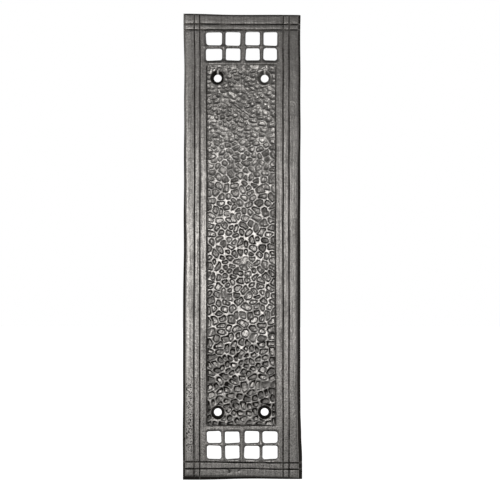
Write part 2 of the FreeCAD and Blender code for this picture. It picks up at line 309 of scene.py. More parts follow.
# %% Mark the casting flaws
# Across, up, radius and depth of each.
FLAWS = ((-7.6, -145.0, 1.3, 0.6), (-1.5, -144.4, 1.0, 0.5), (-36.2, -124.6, 1.0, 0.6))
FLAW_RINGS = (0.3, 0.6, 0.95)
FLAW_POINTS = 10
for at_u, at_w, radius, _ in FLAWS:
    add_points([(at_u, at_w)])
    for share in FLAW_RINGS:
        add_points(circle((at_u, at_w), share * radius, FLAW_POINTS))
print("flaws", len(FLAWS))

# %% [markdown]
# The hammered panel is the busy part. Rows of points follow its edge closely, so that the step down
# into it stays crisp, and a honeycomb of points fills it. A honeycomb has no rows or columns to show
# through as stripes, which a square grid would.

# %% Draw the panel's edge and its honeycomb
PANEL_LINES = (-0.32, -0.1, 0.1, 0.3, 0.5, 0.72)
PANEL_LINE_STEP = 0.6
COMB_STEP = 0.42
COMB_START = 0.98
COMB_CLEAR = 0.25


def rectangle(reach_u, reach_w):
    """Evenly spaced points round a rectangle, anticlockwise."""
    count_u = round(2 * panel_half_width / PANEL_LINE_STEP)
    count_w = round(2 * panel_half_length / PANEL_LINE_STEP)
    shares_u = [2 * step / count_u - 1 for step in range(count_u)]
    shares_w = [2 * step / count_w - 1 for step in range(count_w)]
    return (
        [(share * reach_u, -reach_w) for share in shares_u]
        + [(reach_u, share * reach_w) for share in shares_w]
        + [(-share * reach_u, reach_w) for share in shares_u]
        + [(-reach_u, -share * reach_w) for share in shares_w]
    )


for inset in PANEL_LINES:
    add_points(rectangle(panel_half_width - inset, panel_half_length - inset))
comb_u = panel_half_width - COMB_START
comb_w = panel_half_length - COMB_START
comb_rows = round(2 * comb_w / (COMB_STEP * math.sqrt(3) / 2))
comb_columns = round(2 * comb_u / COMB_STEP)
comb = []
for row in range(comb_rows + 1):
    w = -comb_w + 2 * comb_w * row / comb_rows
    indent = 0.5 if row % 2 == 0 else 0
    for column in range(comb_columns + row % 2):
        u = -comb_u + 2 * comb_u * (column + indent) / comb_columns
        if all(math.dist((u, w), centre) > HOLE_RINGS[-1] + COMB_CLEAR for centre in holes):
            comb.append((u, w))
add_points(comb)
print("honeycomb", len(comb), "points, plan", len(plan))

# %% [markdown]
# The triangulation fills everything, also the windows and holes. Their edges were given as fixed
# lines, so the triangles inside them can be told by their middles and left out.

# %% Join the plan into triangles
WELD = 1e-5
INSCRIBED = math.cos(math.pi / HOLE_POINTS)

found, _, triangles, origins, _, _ = delaunay_2d_cdt(
    [Vector(point) for point in plan], constraints, [], 0, WELD
)
flat = np.array([tuple(point) for point in found])
number_of = {origin: number for number, group in enumerate(origins) for origin in group}
gap = np.array([min((window_gap[o] for o in group), default=PLAIN) for group in origins])


def inside(point, polygon):
    """True if a point lies inside a closed polygon."""
    crossings = 0
    for (u0, w0), (u1, w1) in closed_line(polygon):
        if (w0 > point[1]) != (w1 > point[1]):
            crossings += point[0] < u0 + (point[1] - w0) / (w1 - w0) * (u1 - u0)
    return crossings % 2 == 1


triangles = np.array(triangles)
middles = flat[triangles].mean(axis=1)
kept = np.ones(len(triangles), bool)
for window, edge in zip(windows, window_edges):
    polygon = [plan[number] for number in edge]
    away = np.abs(middles - window["centre"]).max(axis=1)
    for index in np.flatnonzero(away < window["width"]):
        if inside(middles[index], polygon):
            kept[index] = False
for centre in holes:
    kept &= np.hypot(*(middles - centre).T) > bore_radius * INSCRIBED
triangles = triangles[kept]
print("front triangles", len(triangles))

# %% [markdown]
# Heights come from simple rules that are blended. Modelling tools could push such small forms about
# one by one, but a rule for every point keeps them all editable. A soft minimum rounds every arris
# the way sand does: the lower of two surfaces wins, with a small fillet where they meet. Ramps and
# humps say where on the plate a rule holds, and ripples keep it from looking ruled.

# %% Make the rules for heights
u, w = flat.T


def soft_min(a, b, fillet):
    """The lower of two heights, with a fillet where they cross."""
    return 0.5 * (a + b - np.sqrt((a - b) ** 2 + fillet**2))


def ramp(value, start, end):
    """0 up to start, 1 from end on and a smooth climb between. start may be the larger one."""
    share = np.clip((value - start) / (end - start), 0, 1)
    return share * share * (3 - 2 * share)


def hump(value, middle, reach):
    """1 at the middle, falling away smoothly on both sides."""
    return np.exp(-(((value - middle) / reach) ** 2))


def groove(distance, reach):
    """A groove with a rounded floor, 1 deep at its middle line and 0 from its reach outwards."""
    return np.clip(1 - (distance / reach) ** 2, 0, 1) ** 2


WAVES = 9
PITCH_SPREAD = (0.7, 1.4)


def ripple(u, w, wavelength, seed):
    """A smooth irregular field of about unit size, made of a few plane waves."""
    draw = random.Random(seed)
    total = 0.0
    for _ in range(WAVES):
        angle = draw.uniform(0, 2 * math.pi)
        pitch = wavelength * draw.uniform(*PITCH_SPREAD)
        run = (u * math.cos(angle) + w * math.sin(angle)) * 2 * math.pi / pitch
        total = total + np.cos(run + draw.uniform(0, 2 * math.pi))
    return total / math.sqrt(WAVES / 2)


print("heights for", len(flat), "points")

# %% [markdown]
# The pattern maker cut the grooves with a scratch tool, two along each edge, so their keenness
# changes slowly along them. At the top the face sags a little towards the grooves, and their dark
# line is moved into their lower halves as painted shade. Lines drawn in the colour alone would
# vanish in a side view, so the grooves are real hollows, and `line` remembers where the dark finish
# and that painted shade go.

# %% Cut the grooves
GROOVE_REACH = 0.5
GROOVE_DEPTH = 0.6
ALONG = 0.2
SIDE_KEENNESS, SIDE_KEENNESS_LENGTH = 0.1, 30
END_KEENNESS, END_KEENNESS_LENGTH = 0.15, 22
LOW_DOWN = (-95, -115)
LOW_WIDENING = 0.1
TOP_SHADE_SHIFT = 0.2
TOP_SAG, TOP_SAG_REACH = 0.07, 1.7
FACE_WAVE, FACE_WAVE_LENGTH = 0.007, 26

at_top_end = w > 0
side_inset = np.minimum(half_width + u, half_width - u)
end_inset = np.where(at_top_end, half_length - w, half_length + w)
low_down = ramp(w, *LOW_DOWN)
side_reach = GROOVE_REACH * (1 + LOW_WIDENING * low_down)
# At the top the dark line is moved into the lower half of each groove: painted shade.
line_shift = np.where(at_top_end, TOP_SHADE_SHIFT, 0)
face = thickness + FACE_WAVE * ripple(u, w, FACE_WAVE_LENGTH, seed=5)
side_cut = np.zeros(len(flat))
end_cut = np.zeros(len(flat))
end_line = np.zeros(len(flat))
for number in (0, 1):
    keenness = 1 + SIDE_KEENNESS * ripple(u * ALONG, w, SIDE_KEENNESS_LENGTH, seed=60 + number)
    away = side_inset - SIDE_GROOVES[number]
    side_cut = np.maximum(side_cut, keenness * groove(away, side_reach))
    keenness = 1 + END_KEENNESS * ripple(u, w * ALONG, END_KEENNESS_LENGTH, seed=70 + number)
    away = end_inset - np.where(at_top_end, TOP_GROOVES[number], FOOT_GROOVES[number])
    end_cut = np.maximum(end_cut, keenness * groove(away, GROOVE_REACH))
    end_line = np.maximum(end_line, keenness * groove(away - line_shift, GROOVE_REACH))
    face -= TOP_SAG * groove(away, TOP_SAG_REACH) * at_top_end
cut = np.maximum(side_cut, end_cut)
line = np.maximum(side_cut, end_line)
print("points in grooves", int((cut > 0).sum()))

# %% [markdown]
# The edge of the plate is bevelled so that the casting leaves the sand. A Bevel modifier would make
# it equally wide all round, but on this plate it is wide at the foot and almost gone at the upper
# left. So each side has its own width, which changes along it. The windows get a small worn arris.

# %% Bevel the edges
TOP_BEVEL = 0.6
FOOT_BEVEL = (2.7, 1.4)
LEFT_BEVEL = (1.9, 0.8)
RIGHT_BEVEL = (2.4, 1.7)
BEVEL_CHANGE = (-30, 120)
BEVEL_FILLET = 0.12
SIDE_LEAN = 0.02
WINDOW_ARRIS = 0.4


def between(ends, share):
    return ends[0] + (ends[1] - ends[0]) * share


left_bevel = between(LEFT_BEVEL, ramp(w, *BEVEL_CHANGE))
right_bevel = between(RIGHT_BEVEL, ramp(w, *BEVEL_CHANGE))
foot_bevel = between(FOOT_BEVEL, 0.5 + u / half_width / 2)
bevel = np.min(
    [
        half_width + u - left_bevel,
        half_width - u - right_bevel,
        half_length + w - foot_bevel,
        half_length - w - TOP_BEVEL,
    ],
    axis=0,
)
face -= SIDE_LEAN * np.clip(SIDE_GROOVES[0] - side_inset, 0, None)
height = soft_min(face - GROOVE_DEPTH * cut, thickness + bevel, BEVEL_FILLET)
height -= WINDOW_ARRIS * (1 - ramp(gap, 0, WINDOW_RINGS[-1])) ** 2
print("border height", round(height.min(), 2), "to", round(height.max(), 2), "mm")

# %% [markdown]
# With each height goes a grime value: 0 where hands rub the iron bright, 1 and more where the dark
# finish stays, and it also carries painted shade and painted highlights. Painting it by hand would
# work too, but rules keep it in step with the shape. The bands have a middling value that changes
# up the plate, partly from wear and partly painted light. A strip along the left bevel is rubbed
# bright, and broad patches are lighter or darker than the rest, partly from handling and partly
# painted light.

# %% Rub the borders and paint their light
BAND_GRIME = 0.45
LOWER_BANDS, LOWER_RUB_AND_LIGHT = (-40, -100), 0.1
UPPER_BANDS, UPPER_GRIME_AND_SHADE = (50, 90), 0.02
STRIP_START = (0.1, 0.6)
STRIP_END = (2.6, 1.4)
STRIP_RUB = 0.9
STRIP_MIDDLE, STRIP_MIDDLE_GRIME = (0, 45), 0.5
STRIP_TOP, STRIP_TOP_FADE = (5, 45), 0.6
# Across, up, reach across, reach up, and how much darker.
HANDLED_AND_LIT = (
    (-34, 0, 9, 45, 0.05),
    (-33, 140, 9, 10, -0.25),
    (34, -65, 6, 45, -0.1),
    (27, -40, 6, 45, 0.07),
    (-29, -45, 3, 25, 0.07),
    (-27, 100, 6, 35, 0.06),
    (27, 100, 6, 35, 0.05),
    (-34, 85, 5, 22, 0.04),
    (30, -143, 14, 7, -0.07),
)

# The bands' tone up the plate and the broad patches are partly wear and partly painted light.
grime_and_shade = BAND_GRIME - LOWER_RUB_AND_LIGHT * ramp(w, *LOWER_BANDS) + UPPER_GRIME_AND_SHADE * ramp(w, *UPPER_BANDS)
from_bevel = half_width + u - left_bevel
strip = ramp(from_bevel, *STRIP_START) * ramp(from_bevel, *STRIP_END)
strip_rub = STRIP_RUB - STRIP_MIDDLE_GRIME * hump(w, *STRIP_MIDDLE)
strip_rub = strip_rub * (1 - STRIP_TOP_FADE * ramp(w, *STRIP_TOP))
grime_and_shade = grime_and_shade * (1 - strip_rub * strip)
for at_u, at_w, reach_u, reach_w, change in HANDLED_AND_LIT:
    grime_and_shade = grime_and_shade + change * hump(u, at_u, reach_u) * hump(w, at_w, reach_w)
print("band grime", round(grime_and_shade.min(), 2), "to", round(grime_and_shade.max(), 2))

# %% [markdown]
# The dark finish stays in the grooves and on the bevel, and on the bevel it is partly painted shade.
# It is thinner here and there along a groove, most of all in the lower borders, where the lines look
# broken. At the foot's left corner a wash of it lies over everything. Round the windows a dark edge
# is painted shade, darker on the upper side of each foot window.

# %% Darken the grooves and edges
GROOVE_GRIME = 1.1
GROOVE_THIN, GROOVE_THIN_LENGTH = 0.35, 14
TOP_GROOVE_THIN = 0.2
BROKEN_START, BROKEN_END = (-40, -80), (-125, -105)
BROKEN_THIN, BROKEN_LENGTH = 0.3, 4.5
LINE_SPREAD, LOW_LINE_SPREAD = 1.2, 0.8
BEVEL_PATINA_AND_SHADE = 1.2
BEVEL_DROP = (0.08, 0.43)
GROOVE_FREE = 0.1
ARRIS_SHADE, ARRIS_RISE, ARRIS_LIMITS = 0.75, 0.55, (0.2, 1.25)
ARRIS_START, NEAR_ARRIS = 0.1, 1
WASH = 0.85
WASH_UP, WASH_ACROSS = (5.5, 1.5), (-2, -32)

groove_grime = GROOVE_GRIME - GROOVE_THIN * np.clip(
    ripple(u, w, GROOVE_THIN_LENGTH, seed=80), 0, 1
)
groove_grime = groove_grime - TOP_GROOVE_THIN * at_top_end * (end_cut > side_cut)
broken = ramp(w, *BROKEN_START) * ramp(w, *BROKEN_END)
broken = broken * np.clip(ripple(u, w, BROKEN_LENGTH, seed=81), 0, 1)
groove_grime = groove_grime - BROKEN_THIN * broken
line_spread = LINE_SPREAD + LOW_LINE_SPREAD * low_down
grime_and_shade = np.maximum(grime_and_shade, groove_grime * ramp(line_spread * line, 0, 1))
# The bevel is darkened: partly unrubbed patina, partly painted shade.
grime_and_shade = np.maximum(grime_and_shade, BEVEL_PATINA_AND_SHADE * ramp(face - height, *BEVEL_DROP) * (cut < GROOVE_FREE))
# Painted shade round the windows: a dark edge on the arris, darker on the upper side of each foot
# window and lighter on its lower side.
window_rise = np.zeros(len(flat))
for window in windows:
    away_u, away_w = u - window["centre"][0], w - window["centre"][1]
    near = np.abs(away_u) < window["width"] / 2 + NEAR_ARRIS
    near &= np.abs(away_w) < window["height"] / 2 + NEAR_ARRIS
    window_rise[near] = 2 * away_w[near] / window["height"]
foot_arris = np.clip(ARRIS_SHADE + ARRIS_RISE * window_rise, *ARRIS_LIMITS)
arris_shade = np.where(w < 0, foot_arris, 1)
arris_reach = (ARRIS_START, ARRIS_START + WINDOW_RINGS[-1])
grime_and_shade = np.maximum(grime_and_shade, arris_shade * (1 - ramp(gap, *arris_reach)))
grime_and_shade = np.maximum(grime_and_shade, WASH * ramp(half_length + w, *WASH_UP) * ramp(u, *WASH_ACROSS))
print("mean grime of the border", round(float(grime_and_shade.mean()), 2))

# %% [markdown]
# The panel was beaten with a small punch before the pattern was cast: hundreds of rounded oblong
# marks lie every way, with narrow ridges left standing between them. A Voronoi texture would give
# straight-sided cells. Instead a random scatter of sites is turned into marks by asking, at every
# point, which site is nearest when each site measures with its own stretched and turned ruler. The
# ruler's fourth power makes the marks squarish. Towards the top they are smaller and lie flatter.

# %% Scatter the hammer marks
MARK_SEED = 11
MARK_AREA = 22.5
FINE_AREA = 11.5
FINE_MARKS = (20, 85)
MARK_STRETCH = (1.02, 1.38)
MARK_SIZES = (0.88, 1.14)
FINE_LEVELLING = 0.7
mark_draw = np.random.default_rng(MARK_SEED)


def mark_area(w):
    """The room that a mark takes at a height on the plate, in square millimetres."""
    return MARK_AREA + (FINE_AREA - MARK_AREA) * ramp(w, *FINE_MARKS)


rows = np.arange(-panel_half_length, panel_half_length, 1.0)
marks_in_row = 2 * panel_half_width / mark_area(rows)
mark_count = round(marks_in_row.sum())
rank = mark_draw.uniform(0, mark_count, mark_count)
sites_u = mark_draw.uniform(-panel_half_width, panel_half_width, mark_count)
sites = np.stack([sites_u, np.interp(rank, np.cumsum(marks_in_row), rows)], axis=1)
turn = mark_draw.uniform(-math.pi / 2, math.pi / 2, mark_count)
turn = turn * (1 - FINE_LEVELLING * ramp(sites[:, 1], *FINE_MARKS))
stretch = mark_draw.uniform(*MARK_STRETCH, mark_count)
mark_reach = np.sqrt(mark_area(sites[:, 1]) / math.pi)
mark_reach = mark_reach * mark_draw.uniform(*MARK_SIZES, mark_count)
print("hammer marks", mark_count)

# %% [markdown]
# Punch marks don't pile up: whoever struck them aimed at the bare places. Moving each site to the
# middle of the area it owns, a few times over, spreads a raw scatter in the same way. Then a few
# neighbours are joined, because some blows ran together.

# %% Settle the marks
SETTLE_ROUNDS = 6
SETTLE_STEP = 1.0


def nearness(u, w):
    """How far each point is from each site by the site's own ruler, to the ruler's power."""
    away_u = u[:, None] - sites[None, :, 0]
    away_w = w[:, None] - sites[None, :, 1]
    along = (away_u * np.cos(turn) + away_w * np.sin(turn)) / (mark_reach * stretch)
    over = (away_w * np.cos(turn) - away_u * np.sin(turn)) / (mark_reach / stretch)
    return np.square(np.square(along)) + np.square(np.square(over))


settle_u, settle_w = (
    grid.ravel()
    for grid in np.meshgrid(
        np.arange(-panel_half_width + SETTLE_STEP / 2, panel_half_width, SETTLE_STEP),
        np.arange(-panel_half_length + SETTLE_STEP / 2, panel_half_length, SETTLE_STEP),
    )
)
for _ in range(SETTLE_ROUNDS):
    owner = nearness(settle_u, settle_w).argmin(axis=1)
    count = np.maximum(np.bincount(owner, minlength=mark_count), 1)
    sites[:, 0] = np.bincount(owner, settle_u, mark_count) / count
    sites[:, 1] = np.bincount(owner, settle_w, mark_count) / count
print("marks cover", count.min(), "to", count.max(), "square mm each")

# %% Let some marks run together
BLOW_SPREAD = (0.75, 1.2)
WEAK_SHARE, WEAK_BLOW = 0.05, 0.4
FLOOR_GRIME = (0.08, 0.42)
JOINED_SHARE = 0.07

mark_depth = mark_draw.uniform(*BLOW_SPREAD, mark_count)
mark_depth[mark_draw.uniform(0, 1, mark_count) < WEAK_SHARE] = WEAK_BLOW
floor_grime = mark_draw.uniform(*FLOOR_GRIME, mark_count)
family = np.arange(mark_count)
for first in np.flatnonzero(mark_draw.uniform(0, 1, mark_count) < JOINED_SHARE):
    apart = np.hypot(*(sites - sites[first]).T)
    apart[first] = np.inf
    family[first] = family[np.argmin(apart)]
print("families of marks", len(set(family)))

# %% [markdown]
# The panel isn't struck alike all over. The blows are heavy near the foot and lighter towards the
# top, the middle has wider ridges, one band is lighter, partly rubbed and partly painted highlight,
# and another is worn flat by hands. The top is darker, partly finish and partly painted shade. Each
# zone is a smooth weight up the plate, so `by_zone` can change any value from zone to zone without
# a seam. Separate meshes or materials for the zones would show their borders.

# %% Weigh the zones of the panel
STRENGTH_FALL, STRENGTH_LOSS = (-15, 90), 0.72
STRENGTH_PATCHES, STRENGTH_PATCH_LENGTH = 0.22, 20
STRENGTH_LIMITS = (0.12, 1.15)
zones = {
    "heavy": ramp(w, -35, -80),
    "middle": hump(w, -10, 45),
    "bright": hump(w, -17, 14),
    "worn": hump(w, 45, 30),
    "top": ramp(w, 60, 100),
}


def by_zone(plain, **changes):
    """A value that changes by the amount given for each zone."""
    return plain + sum(change * zones[name] for name, change in changes.items())


patches = 1 + STRENGTH_PATCHES * ripple(u, w, STRENGTH_PATCH_LENGTH, seed=45)
strength = np.clip((1 - STRENGTH_LOSS * ramp(w, *STRENGTH_FALL)) * patches, *STRENGTH_LIMITS)
print("blows from", round(strength.min(), 2), "to", round(strength.max(), 2), "of full strength")

# %% [markdown]
# Every point of the panel belongs to the mark whose site is nearest. How much farther the second
# nearest is tells how far the point lies from the ridge between the two. A soft minimum over all the
# other marks rounds the corners where three of them meet. `rise` is how far up its mark a point
# lies, along the way the light falls.

# %% Find each point's mark
COUNTERSINK_RADIUS = 4.5
STRUCK_FROM = 0.3
MARK_RIDGE = 0.64
MARK_LIMIT = 0.97
CORNER_ROUNDING = 7.0
RISE_UP, RISE_ACROSS = 0.88, -0.47
CHUNK = 4000

panel_inset = np.minimum(panel_half_width - np.abs(u), panel_half_length - np.abs(w))
hole_reach = np.min([np.hypot(u - x, w - z) for x, z in holes], axis=0)
struck = np.flatnonzero(panel_inset > STRUCK_FROM)
wall_run = np.full(len(flat), -1.0)
depth_here, rise, floor_here = np.zeros((3, len(flat)))
for start in range(0, len(struck), CHUNK):
    part = struck[start : start + CHUNK]
    reach = np.sqrt(np.sqrt(nearness(u[part], w[part])))
    nearest = reach.argmin(axis=1)
    first = reach[np.arange(len(part)), nearest]
    reach[family[None, :] == family[nearest][:, None]] = np.inf
    second = -np.log(np.exp(-CORNER_ROUNDING * reach).sum(axis=1)) / CORNER_ROUNDING
    size = mark_reach[nearest]
    wall_run[part] = np.minimum(
        (second - first) * size / 2, (MARK_LIMIT - first) * size + MARK_RIDGE / 2
    )
    away_u, away_w = (flat[part] - sites[nearest]).T
    rise[part] = (RISE_UP * away_w + RISE_ACROSS * away_u) / size
    depth_here[part] = mark_depth[nearest]
    floor_here[part] = floor_grime[nearest]
print("points of the panel", len(struck))

# %% [markdown]
# A punch leaves a steep wall and a flat floor where it was struck hard, and a shallow bowl where it
# was struck lightly, so a mark is a mixture of the two. The ridges between are rounded on top.
# Nothing is struck close to the panel's edge or over a countersink.

# %% Strike the hammer marks
RIDGE_WAVE, RIDGE_WAVE_LENGTH = 0.3, 7
EDGE_CLEAR = 0.75
HOLE_CLEAR = 0.35
LOW_HALF = (0.3, -0.3)
MARK_WALL, LOW_WALL_WIDENING = 0.42, 0.2
BOWL_REACH = 1.9
STEEP_FROM, STEEP_SHARE = (0.25, 0.7), 0.7
MARK_DEPTH = 0.6
LEAST_DEPTH = 0.2
FLOOR_WAVE_LENGTH = 2.6
RIDGE_CROWN = 0.03

ridge_wave = RIDGE_WAVE * ripple(u, w, RIDGE_WAVE_LENGTH, seed=41)
ridge = MARK_RIDGE / 2 * (by_zone(1, middle=0.3) + ridge_wave)
wall_run = np.min(
    [wall_run - ridge, panel_inset - EDGE_CLEAR, hole_reach - COUNTERSINK_RADIUS - HOLE_CLEAR],
    axis=0,
)
low_half = ramp(rise, *LOW_HALF)
sunk = ramp(wall_run, 0, MARK_WALL * (1 + LOW_WALL_WIDENING * zones["heavy"] * low_half))
bowl = 1 - (1 - np.clip(wall_run / BOWL_REACH, 0, 1)) ** 2
wall_share = by_zone(0.15, heavy=0.12) + STEEP_SHARE * ramp(strength, *STEEP_FROM)
blow = MARK_DEPTH * (LEAST_DEPTH + (1 - LEAST_DEPTH) * strength) * by_zone(1, heavy=0.2, worn=-0.25)
mark = blow * depth_here * (wall_share * sunk + (1 - wall_share) * bowl)
mark = mark * (1 + by_zone(0.1, heavy=-0.08) * ripple(u, w, FLOOR_WAVE_LENGTH, seed=43))
crown = np.clip(1 + np.maximum(wall_run, -ridge) / ridge, 0, 1) ** 2
mark = mark + RIDGE_CROWN * crown * depth_here
print("deepest mark", round(mark.max(), 2), "mm")

# %% [markdown]
# A few straight scratches cross the panel where a tool slipped on the pattern. They flatten the
# marks beside them and cut a fine line of their own.

# %% Scratch the panel
# Across and up of one end, then of the other.
SCRATCHES = (
    (-6.0, 89.6, 4.6, 82.4),
    (-5.0, 91.0, 5.4, 84.0),
    (3.2, -11.6, 7.8, -16.4),
    (4.2, -10.6, 8.8, -15.4),
    (5.2, -9.6, 9.6, -14.2),
)
SCRATCH_END = 1.5
FLATTENED, FLATTENED_REACH = 0.65, 0.9
SCRATCH_DEPTH, SCRATCH_REACH = 0.2, 0.3

for start_u, start_w, end_u, end_w in SCRATCHES:
    run = np.array([end_u - start_u, end_w - start_w])
    length = np.hypot(*run)
    along = ((u - start_u) * run[0] + (w - start_w) * run[1]) / length
    aside = ((w - start_w) * run[0] - (u - start_u) * run[1]) / length
    ends = ramp(along, 0, SCRATCH_END) * ramp(length - along, 0, SCRATCH_END)
    mark = mark * (1 - FLATTENED * ends * hump(aside, 0, FLATTENED_REACH))
    mark = mark + SCRATCH_DEPTH * ends * hump(aside, 0, SCRATCH_REACH)
print("scratches", len(SCRATCHES))

# %% [markdown]
# The panel lies below the border, with a fine groove along the foot of the step. Towards its top it
# climbs nearly level with the border. Blending the two heights over the width of the step gives the
# sloped wall of a sand mould, which a straight inset and extrusion would not.

# %% Sink the panel
PANEL_RECESS = 0.7
PANEL_STEP = (-0.08, 0.47)
NEAR_SIDE = (-1.5, -0.5)
TOP_CLIMB, TOP_CLIMB_FROM = 0.4, (-4, -1)
PANEL_LINE, PANEL_LINE_PLACE, PANEL_LINE_REACH = 0.2, 0.45, 0.4
PANEL_WAVE, PANEL_WAVE_LENGTH = 0.04, 9

step = ramp(panel_inset, *PANEL_STEP)
at_top = ramp(w - panel_half_length, *NEAR_SIDE)
at_foot = ramp(-w - panel_half_length, *NEAR_SIDE)
at_right = ramp(u - panel_half_width, *NEAR_SIDE)
recess = PANEL_RECESS - TOP_CLIMB * ramp(w - panel_half_length, *TOP_CLIMB_FROM)
panel_line = PANEL_LINE * (1 - at_top) * groove(panel_inset - PANEL_LINE_PLACE, PANEL_LINE_REACH)
panel_level = thickness - recess - panel_line - mark
panel_level = panel_level + PANEL_WAVE * ripple(u, w, PANEL_WAVE_LENGTH, seed=44)
sunk_level = np.minimum(height, height * (1 - step) + panel_level * step)
height = np.where(step > 0, sunk_level, height)
print("panel height", round(height[step > 0].min(), 2), "mm at its lowest")

# %% [markdown]
# The four screw holes are countersunk at 45 degrees. The drill wandered at the two upper ones, so
# their cones stand a little off the holes. Above each of those holes a shallow fin fills the cone,
# and it carries a painted highlight, a bright streak of reflected light. A Boolean cut could make
# the cones, but the soft minimum also rounds their rims.

# %% Countersink the screw holes
CONE_STRAY = 0.4
CONE_FILLET = 0.2
FIN_HALF_WIDTH = (0.8, 0.45)
FIN_FILL = 0.95

upper_holes = [(x, z) for x, z in holes if z > 0]
cone_reach = np.min(
    [np.hypot(u - x + CONE_STRAY * (z > 0), w - z - CONE_STRAY * (z > 0)) for x, z in holes], axis=0
)
in_cone = cone_reach < COUNTERSINK_RADIUS
# The shallow fin above each upper hole, which later carries a painted highlight.
highlight_fin = np.max([ramp(np.abs(u - x), *FIN_HALF_WIDTH) * (w > z) for x, z in upper_holes], axis=0)
highlight_fin = np.where(in_cone, highlight_fin, 0)
cone_depth = (1 - FIN_FILL * highlight_fin) * (COUNTERSINK_RADIUS - cone_reach)
height = soft_min(height, thickness - PANEL_RECESS - cone_depth, CONE_FILLET)
print("points in countersinks", int(in_cone.sum()))

# %% [markdown]
# The finish of the panel follows the marks. A dark ring lies along the wall of each mark, partly
# patina and partly painted shade, its floor is in between, and its ridge is rubbed. Near the foot
# the rings are dark on their upper sides only, which is painted shade, as of light from above.

# %% Darken the panel
PANEL_GRIME_FROM = 0.25
RING_START = (-0.06, 0.1)
RING_FADE = 0.3
HEAVY_RING_WIDTH = 0.3
RING_PATINA_AND_SHADE = 1.15
LOW_RING_THIN, HEAVY_LOW_RING_THIN = 0.25, 0.45
WEAK_BELOW, WEAK_RIDGE_GRIME = 0.7, 0.85
# Painted shade along the step into the panel, and how much it is thinned on its lit sides.
STEP_SHADE, STEP_GRIME_PLACE = 1.25, (0.2, 0.45)
TOP_STEP_LEFT, TOP_STEP_THIN = 0.75, (-5, 10)
FOOT_STEP_THIN, RIGHT_STEP_THIN = 0.65, 0.25
CONE_SHADE, UPPER_RIGHT_CONE_THIN = 1.05, 0.3
CONE_RIM = 0.25

heavy = zones["heavy"]
# The dark ring is partly patina and partly painted shade. Near the foot it is widened on the upper
# side of each mark, as painted shade of light from above.
ring_width = by_zone(0.28, worn=-0.08) + HEAVY_RING_WIDTH * heavy * (1 - low_half)
ring = ramp(wall_run, *RING_START) * (1 - ramp(wall_run, ring_width, ring_width + RING_FADE))
ring_patina_and_shade = RING_PATINA_AND_SHADE * strength * by_zone(1, heavy=0.3, worn=-0.1, bright=-0.1)
ring_patina_and_shade = ring_patina_and_shade + by_zone(0, top=0.14)
# Thinning the ring on the lower half of each mark leaves painted shade on its upper wall.
ring_patina_and_shade = ring_patina_and_shade * (1 - (LOW_RING_THIN + HEAVY_LOW_RING_THIN * heavy) * low_half)
floor_here = floor_here * by_zone(1, heavy=-0.3)
floor_here += by_zone(0, heavy=0.28, worn=0.2, top=0.17, middle=0.13, bright=-0.05)
ridge_grime = by_zone(0.08, heavy=0.08, top=0.05, middle=0.05)
ridge_grime = ridge_grime + WEAK_RIDGE_GRIME * np.clip(WEAK_BELOW - strength, 0, 1)
mark_patina_and_shade = ring_patina_and_shade * ring + floor_here * (1 - ring)
mark_patina_and_shade = np.where(wall_run > RING_START[0], mark_patina_and_shade, ridge_grime)
grime_and_shade = np.where(panel_inset > PANEL_GRIME_FROM, mark_patina_and_shade, grime_and_shade)
# A dark line along the step into the panel is painted shade. It is thinner at the top, most of all
# on the left, and at the foot and on the right side, where the light falls on those walls.
top_thin = 1 - TOP_STEP_LEFT * ramp(u, *TOP_STEP_THIN)
step_shade = STEP_SHADE - top_thin * at_top - FOOT_STEP_THIN * at_foot - RIGHT_STEP_THIN * at_right
grime_and_shade = np.maximum(grime_and_shade, step_shade * hump(panel_inset, *STEP_GRIME_PLACE))
# The countersinks are painted dark as shade, a little less in the upper right one.
cone_shade = CONE_SHADE - UPPER_RIGHT_CONE_THIN * (u > 0) * (w > 0)
cone_rim = (COUNTERSINK_RADIUS + CONE_RIM, COUNTERSINK_RADIUS - CONE_RIM)
grime_and_shade = np.maximum(grime_and_shade, cone_shade * ramp(cone_reach, *cone_rim))
# The fin is left bright: a painted highlight, a streak of reflected light.
grime_and_shade = np.where(in_cone, grime_and_shade * (1 - FIN_FILL * highlight_fin), grime_and_shade)
print("mean grime of the panel", round(float(grime_and_shade[step > 0].mean()), 2))

# %% [markdown]
# Where the sand of the mould crumbled, the lower left border is speckled, and all the lower borders
# are a little grainy. Grains that small would cost a million triangles as a mesh, so a `sandy` value
# lets the material speckle itself there. A second value, `calm`, tells it to be more even on the
# borders than in the panel. The blowholes are big enough to be real hollows.

# %% Leave the casting flaws
FLAW_REACH = 0.62
FLAW_GRIME = 1.3
SANDY_ACROSS = (-31.2, -32.2)
SANDY_TOP, SANDY_FOOT = (-82, -94), (-138, -128)
GRAINY, GRAINY_FROM = 0.25, (-45, -85)
BEVEL_CLEAR = 0.4

for at_u, at_w, radius, depth in FLAWS:
    flaw = hump(np.hypot(u - at_u, w - at_w), 0, FLAW_REACH * radius)
    height -= depth * flaw
    grime_and_shade = np.maximum(grime_and_shade, ramp(FLAW_GRIME * flaw, 0, 1))
calm = 1 - step
sandy = ramp(u, *SANDY_ACROSS) * ramp(w, *SANDY_TOP) * ramp(w, *SANDY_FOOT)
sandy = np.maximum(sandy, GRAINY * calm * ramp(w, *GRAINY_FROM)) * ramp(bevel, 0, BEVEL_CLEAR)
print("sandy points", int((sandy > GRAINY).sum()))

# %% [markdown]
# No edge of the real plate is straight. A lattice could bend it, but few control points fit so long
# and thin a thing. So the plan is pushed about by rule: slow ripples for the hand-cut pattern, and
# a few measured offsets along each edge, which fade out towards the panel. The lower right corner
# flares out, and the two lines at the foot slope.

